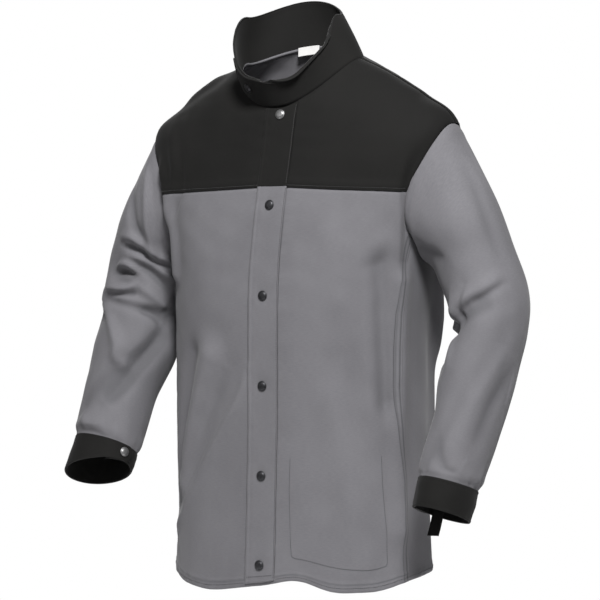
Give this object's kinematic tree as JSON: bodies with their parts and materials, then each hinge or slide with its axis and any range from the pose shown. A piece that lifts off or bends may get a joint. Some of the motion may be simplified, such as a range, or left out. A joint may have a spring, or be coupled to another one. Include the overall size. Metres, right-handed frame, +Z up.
{
  "type": "welding jacket",
  "caption": "Hip-length cloth welding jacket with a stand collar, dark yoke and cuffs and a snap placket, held in the shape it has when worn.",
  "frame": {"origin": "in the middle of the neck opening, 38 mm below the neck seam at its sides, where a wearer's neck or a hanger's hook comes through", "axes": "+Z up, -Y to the wearer's front, +X to the wearer's left"},
  "size_m": [0.7502, 0.2859, 0.9071],
  "materials": {
    "grey_cloth": "matt twill",
    "black_cloth": "matt twill",
    "label_cloth": "smooth woven",
    "snap_metal": "dark enamelled steel"
  },
  "bodies": {
    "root": {"front_yoke_left": "black_cloth", "front_yoke_right": "black_cloth", "back_yoke": "black_cloth", "front_panel_left": "grey_cloth", "front_panel_right": "grey_cloth", "back_panel": "grey_cloth", "sleeve_left": "grey_cloth", "sleeve_right": "grey_cloth", "cuff_left": "black_cloth", "cuff_right": "black_cloth", "collar": "black_cloth", "placket_yoke": "black_cloth", "placket_body": "grey_cloth", "front_snap_1": "snap_metal", "front_snap_2": "snap_metal", "front_snap_3": "snap_metal", "front_snap_4": "snap_metal", "front_snap_5": "snap_metal", "front_snap_6": "snap_metal", "collar_snap": "snap_metal", "cuff_snap_left": "snap_metal", "cuff_snap_right": "snap_metal", "cuff_tab_left": "black_cloth", "neck_label": "label_cloth"}
  },
  "joints": []
}
